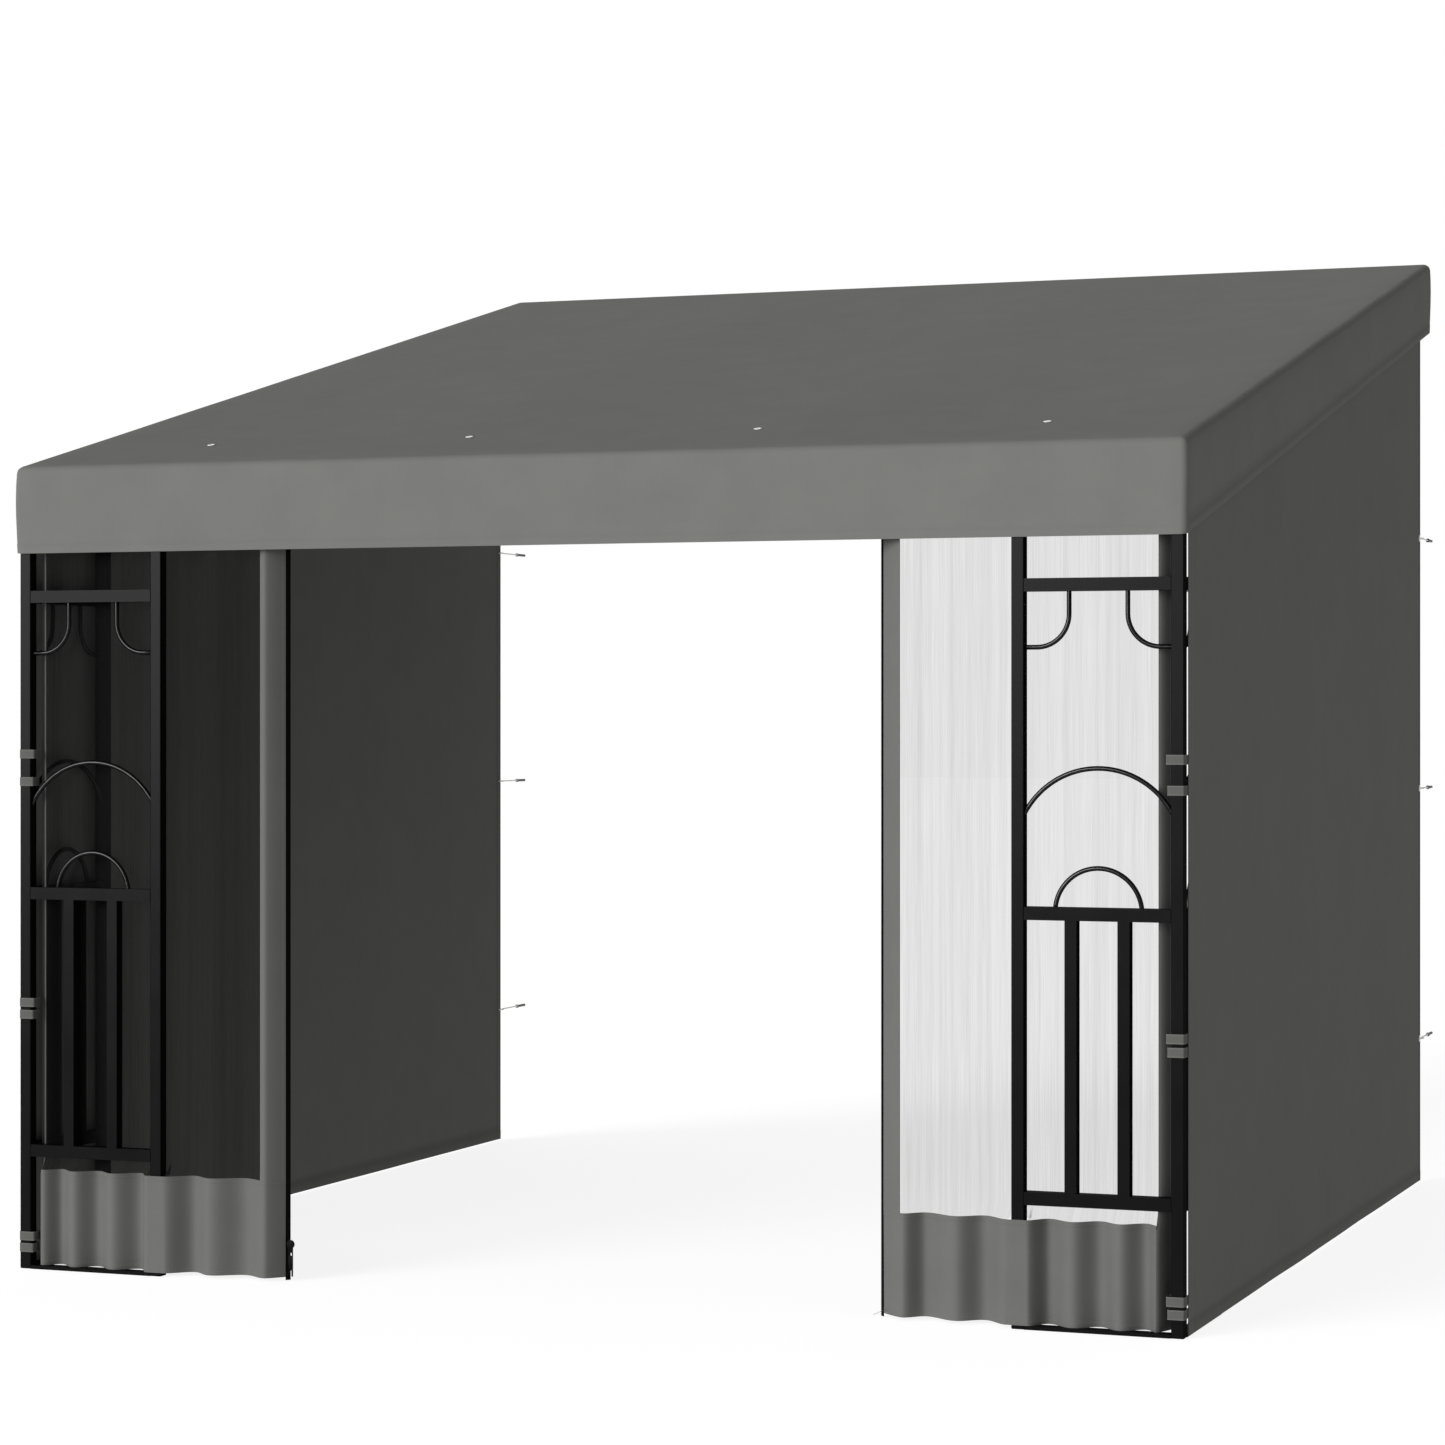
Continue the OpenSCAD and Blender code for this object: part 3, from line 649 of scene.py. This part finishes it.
def folded(name, side, a0, a1, z0, z1, columns, rows, back, thick):
    """An upright folded sheet between two distances in from the corner and two heights."""
    def put(u, v):
        a, z = a0 + u * (a1 - a0), z0 + v * (z1 - z0)
        return in_corner(side, a, back(a, z), z)
    piece = hung_sheet(name, columns, rows, 1.25 * (a1 - a0), z1 - z0, put)
    if side > 0:
        only(piece)
        bpy.ops.object.mode_set(mode="EDIT")
        bpy.ops.mesh.select_all(action="SELECT")
        bpy.ops.mesh.flip_normals()
        bpy.ops.object.mode_set(mode="OBJECT")
    apply_modifier(piece, "SOLIDIFY", thickness=thick, offset=0)
    smooth(piece, 50)
    return piece


def cut_width(back, a0, a1, z):
    """The width of cloth that lies in the folds between two distances in from the corner."""
    places = [a0 + (a1 - a0) * i / 200 for i in range(201)]
    points = [Vector((a, back(a, z))) for a in places]
    return sum((q - p).length for p, q in zip(points, points[1:]))


# Mosquito mesh: knitted polyester yarn of 0.1 mm with openings of about 1 mm, too fine to show
# as holes, so its cover is a share of light stopped, in fine upright streaks where it folds.
# The left net stops more light than the right one. That extra cover is painted shade, because the left
# net hangs in shade.
NET_COVER_AND_SHADE = {"left": (0.26, 0.41), "right": (0.085, 0.19)}
net_mesh = {}
for corner, (least, most) in NET_COVER_AND_SHADE.items():
    net_mesh[corner], tree = blank_material(f"black_mosquito_mesh_{corner}")
    sheet_place = add(tree, "UVMap").outputs["UV"]
    stretched = add(tree, "Mapping", {"Vector": sheet_place, "Scale": (1.0, 0.012, 1.0)})
    fine = add(tree, "TexNoise", {"Vector": stretched.outputs[0], "Scale": 420.0, "Detail": 2.0})
    broad = add(tree, "TexNoise", {"Vector": stretched.outputs[0], "Scale": 45.0, "Detail": 2.0})
    mixed = add(tree, "Math", {0: fine.outputs["Fac"], 1: broad.outputs["Fac"]}, operation="ADD")
    # Share of light stopped; on the left net part of it is painted shade.
    cover_and_painted_shade = add(tree, "MapRange", {"Value": mixed.outputs[0], "From Min": 0.6,
                                         "From Max": 1.4, "To Min": least, "To Max": most})
    shader = add(tree, "BsdfPrincipled", {
        "Base Color": linear("#101010"), "Roughness": 0.8, "Specular IOR Level": 0.05,
        "Alpha": cover_and_painted_shade.outputs[0]})
    add(tree, "OutputMaterial", {"Surface": shader.outputs[0]})

net_cloth = woven("polyester_net_edging", "#555554")

# Zip: acetal teeth on a black woven tape, and a lacquered slider, all matt black.
zip_plastic, tree = blank_material("black_moulded_zip")
place = add(tree, "TexCoord").outputs["Object"]
grain = add(tree, "TexNoise", {"Vector": place, "Scale": 900.0})
relief = add(tree, "Bump", {"Height": grain.outputs["Fac"], "Strength": 0.3, "Distance": 0.0002})
gloss = add(tree, "MapRange", {"Value": grain.outputs["Fac"], "To Min": 0.42, "To Max": 0.58})
shader = add(tree, "BsdfPrincipled", {
    "Base Color": linear("#050505"), "Roughness": gloss.outputs[0], "IOR": 1.48,
    "Specular IOR Level": 0.04, "Normal": relief.outputs[0]})
add(tree, "OutputMaterial", {"Surface": shader.outputs[0]})

TOOTH = (0.0050, 0.0026, 0.0030)
TOOTH_PITCH = 0.0052

for side, corner in ((-1, "left"), (1, "right")):
    binding_end, binding_far = BINDING_END[corner], BINDING_BACK[corner]
    skirt_folds = with_free_fold(SKIRT_FOLDS, corner)
    net_folds = with_free_fold(NET_FOLDS, corner)

    def binding_back(a, z):
        near = net_back(binding_end, z)
        share = BINDING_TURN * (binding_end - a) / (binding_end - NET_START)
        turn = min(1.0, share) ** BINDING_CURL
        return near + (binding_far - near) * turn - EDGING_PROUD

    def hem_back(a, z):
        return net_back(a, z) - EDGING_PROUD

    net = folded(f"{corner}_mosquito_net", side, binding_end - EDGING_LAP,
                 HEM_START + EDGING_LAP, skirt_seam, net_top, 150, 60, net_back, NET_THICK)
    finish_piece(net, net_mesh[corner], "netting", f"{corner}_net")
    binding = folded(f"{corner}_net_binding", side, NET_START, binding_end, skirt_foot, net_top,
                     14, 60, binding_back, EDGING_THICK)
    finish_piece(binding, net_cloth, "net_cloth", f"{corner}_net_hem")
    edge = folded(f"{corner}_zip_hem", side, HEM_START, ZIP_START, skirt_seam, net_top,
                  14, 60, hem_back, EDGING_THICK)
    finish_piece(edge, net_cloth, "net_cloth")
    skirt = folded(f"{corner}_net_skirt", side, binding_end, ZIP_START, skirt_foot, skirt_seam,
                   160, 14, skirt_back, SKIRT_THICK)
    hem(skirt, (0, 0, skirt_foot + SKIRT_HEM), (0, 0, -1), SKIRT_RISE)
    hem(skirt, (0, 0, skirt_seam - SEAM_HEM), (0, 0, 1), SKIRT_RISE)
    smooth(skirt, 50)
    finish_piece(skirt, net_cloth, "net_cloth", f"{corner}_skirt")
    tape = folded(f"{corner}_zip_tape", side, ZIP_START, NET_END, skirt_foot - TAPE_DROP,
                  net_top, 4, 60, net_back, TAPE_THICK)
    finish_piece(tape, zip_plastic, "zip", "zips")

    # One tooth, tapered towards its tip, is repeated down the tape's free edge.
    bpy.ops.object.select_all(action="DESELECT")
    bpy.ops.mesh.primitive_cube_add(size=1)
    teeth = bpy.context.active_object
    teeth.name = f"{corner}_zip_teeth"
    for point in teeth.data.vertices:
        tip = 0.7 if point.co.x * side < 0 else 1.0
        point.co = Vector((point.co.x * TOOTH[0], point.co.y * TOOTH[1] * tip,
                           point.co.z * TOOTH[2] * tip))
    bpy.ops.object.mode_set(mode="EDIT")
    bpy.ops.mesh.select_all(action="SELECT")
    bpy.ops.mesh.bevel(offset=0.0005, segments=1, affect="EDGES")
    bpy.ops.object.mode_set(mode="OBJECT")
    teeth_foot = skirt_foot - TEETH_DROP
    apply_modifier(teeth, "ARRAY", count=int((net_top - teeth_foot) / TOOTH_PITCH),
                   use_relative_offset=False, use_constant_offset=True,
                   constant_offset_displace=(0, 0, TOOTH_PITCH))
    for point in teeth.data.vertices:
        z = teeth_foot + point.co.z
        place = in_corner(side, NET_END - 0.0015, net_back(NET_END, z) - 0.0010, z)
        point.co = Vector((place.x + point.co.x, place.y + point.co.y, z))
    smooth(teeth, 40)
    finish_piece(teeth, zip_plastic, "zip")

    # The heading: a flat tape across the top, gathered a little between its loops.
    low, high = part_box("net_headings")

    def heading_back(a, z):
        wave = math.sin(a * HEADING_FREQUENCY) * (high.z - z) / (high.z - net_top)
        return HEADING_BACK + HEADING_SET_BACK + HEADING_GATHER * wave

    heading = folded(f"{corner}_net_heading", side, NET_START, NET_END, net_top - HEADING_LAP,
                     high.z, 220, 6, heading_back, HEADING_THICK)
    finish_piece(heading, net_cloth, "net_cloth", "net_headings")

    for name, a in (("outer", HEM_START + 0.003), ("inner", ZIP_START - 0.004)):
        x = side * (corner_face - a)
        stitch_row(f"{corner}_zip_hem_{name}_stitches", edge,
                                       (x, front - 0.03, skirt_seam + 0.004),
                                       (x, front - 0.03, net_top - 0.03), (0, -1, 0), "net_cloth")
    for name, z in (("top", skirt_seam - 0.007), ("foot", skirt_foot + 0.009)):
        ends = sorted((side * (corner_face - binding_end - 0.004),
                       side * (corner_face - ZIP_START + 0.004)))
        stitch_row(f"{corner}_skirt_{name}_stitches", skirt,
                                         (ends[0], front - 0.03, z), (ends[1], front - 0.03, z),
                                         (0, -1, 0), "net_cloth")
    middle_z = (net_top + rail_foot) / 2
    cut_width(net_back, binding_end, HEM_START, middle_z)
    cut_width(skirt_back, binding_end, ZIP_START, skirt_foot)

# ---------------------------------------------------------------------------------------------
# Zip slider of the left net. A round moulded grip on a flat pull with a window, and a hooked
# tail below it that the other half of the zip is started with.
SLIDER_EDGE = 0.0006
TAIL_LENGTH = 0.034
TAIL_WIRE = 0.0022
TAIL_TOP = (0.0115, 0.0012, 0.030)
TAIL_CUTS = 8
TAIL_BOW = 0.003
TAIL_HOOK = 0.011
TAIL_TAPER = 0.45


def join_pieces(parts):
    """Joins some pieces into the first of them."""
    bpy.ops.object.select_all(action="DESELECT")
    for part in parts:
        part.select_set(True)
    bpy.context.view_layer.objects.active = parts[0]
    bpy.ops.object.join()
    return parts[0]


slider = merged_copy("zip_slider", "zip_slider_grip")
round_edges(slider, SLIDER_EDGE, 2)
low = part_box("zip_slider")[0]
bpy.ops.object.select_all(action="DESELECT")
bpy.ops.mesh.primitive_cylinder_add(vertices=10, radius=TAIL_WIRE, depth=TAIL_LENGTH,
                                    location=(0, 0, 0))
tail = bpy.context.active_object
for i in range(1, TAIL_CUTS):
    cut(tail, (0, 0, TAIL_LENGTH * (i / TAIL_CUTS - 0.5)), (0, 0, 1))
for point in tail.data.vertices:
    down = (TAIL_LENGTH / 2 - point.co.z) / TAIL_LENGTH
    taper = 1.0 - TAIL_TAPER * down
    bow = TAIL_BOW * math.sin(math.pi * down) - TAIL_HOOK * eased(down * 1.3 - 0.3)
    point.co = Vector((low.x + TAIL_TOP[0] + bow + point.co.x * taper,
                       low.y + TAIL_TOP[1] + point.co.y * 0.7 * taper,
                       low.z + TAIL_TOP[2] - down * TAIL_LENGTH * 0.88))
slider = join_pieces([slider, tail])
smooth(slider, 40)
finish_piece(slider, zip_plastic, "zip", "zip_slider")

# ---------------------------------------------------------------------------------------------
# Straps and loops. Flat polyester webbing, 22 mm wide, sewn to the curtains' front edges and
# closed round the corner posts, and sewn into loops that carry the curtains and the nets.
WEBBING_WIDTH = 0.022
WEBBING_THICK = 0.0012
LOOP_CORNER = 0.0045
RING_DEPTH = 0.0332
TAIL_LAP = 0.006
TAIL_INSET = 0.0006
TAIL_TUCK = 0.0022

webbing = woven("polyester_webbing", "#4A4A48", threads=0.0022, relief_depth=0.0003,
                webbing_width=WEBBING_WIDTH)


def webbing_ring(low, high, axis):
    """A flat webbing ring that fills a box: its width lies along the axis, and its walls along
    the box's other four sides, with rounded corners."""
    size = high - low
    a, b = (axis + 1) % 3, (axis + 2) % 3
    bpy.ops.object.select_all(action="DESELECT")
    bpy.ops.mesh.primitive_plane_add(size=1)
    ring = bpy.context.active_object
    for point in ring.data.vertices:
        point.co = Vector((point.co.x * size[a], point.co.y * size[b], 0))
    bpy.ops.object.mode_set(mode="EDIT")
    bpy.ops.mesh.select_all(action="SELECT")
    bpy.ops.mesh.bevel(offset=LOOP_CORNER, segments=5, affect="VERTICES")
    bpy.ops.mesh.delete(type="ONLY_FACE")
    bpy.ops.mesh.select_all(action="SELECT")
    bpy.ops.mesh.extrude_edges_move(TRANSFORM_OT_translate={"value": (0, 0, size[axis])})
    bpy.ops.mesh.select_all(action="SELECT")
    bpy.ops.mesh.normals_make_consistent(inside=False)
    bpy.ops.object.mode_set(mode="OBJECT")
    for i in range(1, 9):
        cut(ring, (0, size[b] * (i / 9 - 0.5), 0), (0, 1, 0))
    for share in (0.10, 0.16, 0.5, 0.84, 0.90):
        cut(ring, (0, 0, size[axis] * share), (0, 0, 1))
    apply_modifier(ring, "SOLIDIFY", thickness=WEBBING_THICK, offset=-1)
    place_webbing(ring, size[axis])
    turned = Matrix.Identity(4)
    for row, column in ((a, 0), (b, 1), (axis, 2)):
        turned[row][:3] = [1.0 if i == column else 0.0 for i in range(3)]
    middle = (low + high) / 2
    middle[axis] = low[axis]
    ring.data.transform(Matrix.Translation(middle) @ turned)
    return ring


def place_webbing(piece, width):
    """Sets the UVs of an upright piece of webbing in metres, its width taken as the full one."""
    layer = piece.data.uv_layers[0] if piece.data.uv_layers else piece.data.uv_layers.new()
    for corner in piece.data.loops:
        point = piece.data.vertices[corner.vertex_index].co
        layer.data[corner.index].uv = (point.x + point.y, point.z * WEBBING_WIDTH / width)


def extent(points):
    """The lowest and highest corners of the box round some points."""
    return (Vector([min(point[i] for point in points) for i in range(3)]),
            Vector([max(point[i] for point in points) for i in range(3)]))


def islands(node):
    """The corner points of each of a CAD node's solids."""
    piece = merged_copy(node, node + "_solids")
    bpy.ops.object.mode_set(mode="EDIT")
    bpy.ops.mesh.select_all(action="SELECT")
    bpy.ops.mesh.separate(type="LOOSE")
    bpy.ops.object.mode_set(mode="OBJECT")
    parts = list(bpy.context.selected_objects)
    points = [[point.co.copy() for point in part.data.vertices] for part in parts]
    for part in parts:
        bpy.data.objects.remove(part, do_unlink=True)
    return points


def join_webbing(name, parts, node, turn=0.0):
    """Joins webbing parts to one piece that stands for a CAD node, turned about the X axis."""
    piece = join_pieces(parts)
    piece.name = name
    piece.data.transform(Matrix.Rotation(turn, 4, "X"))
    smooth(piece, 40)
    finish_piece(piece, webbing, "webbing", node)


for node, axis, turn in (("curtain_loops", 1, math.atan(slope)), ("net_loops", 0, 0.0)):
    rings = []
    for points in islands(node):
        low, high = extent([Matrix.Rotation(-turn, 3, "X") @ point for point in points])
        rings.append(webbing_ring(low, high, axis))
    join_webbing(node + "_webbing", rings, node, turn)

for side, corner in ((-1, "left"), (1, "right")):
    parts = []
    for points in islands(f"{corner}_straps"):
        low, high = extent(points)
        ring_high = Vector((high.x, low.y + RING_DEPTH, high.z))
        parts.append(webbing_ring(low, ring_high, 2))
        # The tail runs on from the ring's outer side and is sewn to the curtain's front edge.
        outer = high.x if side > 0 else low.x

        def tail_point(u, v):
            y = ring_high.y - TAIL_LAP + u * (high.y - ring_high.y + TAIL_LAP)
            inwards = TAIL_INSET + TAIL_TUCK * eased(1.5 * u)
            return Vector((outer - side * inwards, y, low.z + v * (high.z - low.z)))

        tail = hung_sheet(f"{corner}_strap_tail", 12, 8, 1, 1, tail_point)
        apply_modifier(tail, "SOLIDIFY", thickness=WEBBING_THICK, offset=0)
        for corner_uv in tail.data.loops:
            point = tail.data.vertices[corner_uv.vertex_index].co
            tail.data.uv_layers[0].data[corner_uv.index].uv = (point.y, point.z - low.z)
        parts.append(tail)
    join_webbing(f"{corner}_straps_webbing", parts, f"{corner}_straps")

# ---------------------------------------------------------------------------------------------
# Eyelets. Pressed steel rings under bright zinc plating, set through the roof as drains
# and through the curtains' rear hems for the wall hooks. Their rims roll over on both faces.
EYELET_RIM = 0.0150
EYELET_SECTION = (0.0050, 0.0022)
EYELET_LIFT = 0.0010

zinc, tree = blank_material("bright_zinc_plating")
place = add(tree, "TexCoord").outputs["Object"]
spangle = add(tree, "TexNoise", {"Vector": place, "Scale": 300.0})
gloss = add(tree, "MapRange", {"Value": spangle.outputs["Fac"], "To Min": 0.30, "To Max": 0.50})
tone = add(tree, "MapRange", {"Value": spangle.outputs["Fac"], "To Min": 0.95, "To Max": 1.05})
plated = add(tree, "HueSaturation", {"Color": linear("#F2F2EF"), "Value": tone.outputs[0]})
shader = add(tree, "BsdfPrincipled", {
    "Base Color": plated.outputs[0], "Metallic": 0.35, "Roughness": gloss.outputs[0]})
add(tree, "OutputMaterial", {"Surface": shader.outputs[0]})


def rolled_ring(place, out):
    """An eyelet: an oval section spun round the hole's axis, through its place, facing out."""
    bpy.ops.object.select_all(action="DESELECT")
    bpy.ops.mesh.primitive_circle_add(vertices=12, radius=0.5, rotation=(math.pi / 2, 0, 0))
    bpy.ops.object.transform_apply(location=True, rotation=True, scale=True)
    ring = bpy.context.active_object
    for point in ring.data.vertices:
        point.co = Vector((point.co.x * EYELET_SECTION[0] + EYELET_RIM / 2, 0,
                           point.co.z * EYELET_SECTION[1]))
    bpy.ops.object.mode_set(mode="EDIT")
    bpy.ops.mesh.select_all(action="SELECT")
    bpy.ops.mesh.spin(steps=32, angle=2 * math.pi, center=(0, 0, 0), axis=(0, 0, 1))
    bpy.ops.mesh.select_all(action="SELECT")
    bpy.ops.mesh.remove_doubles(threshold=0.00001)
    bpy.ops.mesh.normals_make_consistent(inside=False)
    bpy.ops.object.mode_set(mode="OBJECT")
    ring.data.transform(Matrix.Translation(place) @ Vector(out).to_track_quat("Z", "Y")
                        .to_matrix().to_4x4())
    return ring


for node, out in (("drain_eyelets", (0, -slope, 1)), ("curtain_eyelets", (1, 0, 0))):
    rings = []
    for points in islands(node):
        low, high = extent(points)
        middle = (low + high) / 2
        if node == "drain_eyelets":
            middle.z -= sag_at(middle.x, middle.y) - EYELET_LIFT
        rings.append(rolled_ring(middle, out))
    eyelets = join_pieces(rings)
    eyelets.name = node + "_rolled"
    smooth(eyelets, 60)
    finish_piece(eyelets, zinc, "bright_metal", node)

# ---------------------------------------------------------------------------------------------
# Wall hooks and plugs. Screw hooks of zinc-plated wire through the curtains' rear eyelets, each
# screwed into a grey nylon plug in the wall.
nylon, tree = blank_material("grey_nylon_plug")
place = add(tree, "TexCoord").outputs["Object"]
grain = add(tree, "TexNoise", {"Vector": place, "Scale": 700.0, "Detail": 2.0})
relief = add(tree, "Bump", {"Height": grain.outputs["Fac"], "Strength": 0.3, "Distance": 0.0003})
tone = add(tree, "MapRange", {"Value": grain.outputs["Fac"], "To Min": 0.92, "To Max": 1.08})
grey = add(tree, "HueSaturation", {"Color": linear("#626260"), "Value": tone.outputs[0]})
shader = add(tree, "BsdfPrincipled", {
    "Base Color": grey.outputs[0], "Roughness": 0.5, "IOR": 1.53, "Normal": relief.outputs[0]})
add(tree, "OutputMaterial", {"Surface": shader.outputs[0]})

for node in ("left_wall_hooks", "right_wall_hooks"):
    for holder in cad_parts[node].material_slots:
        holder.material = zinc
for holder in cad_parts["wall_plugs"].material_slots:
    holder.material = nylon
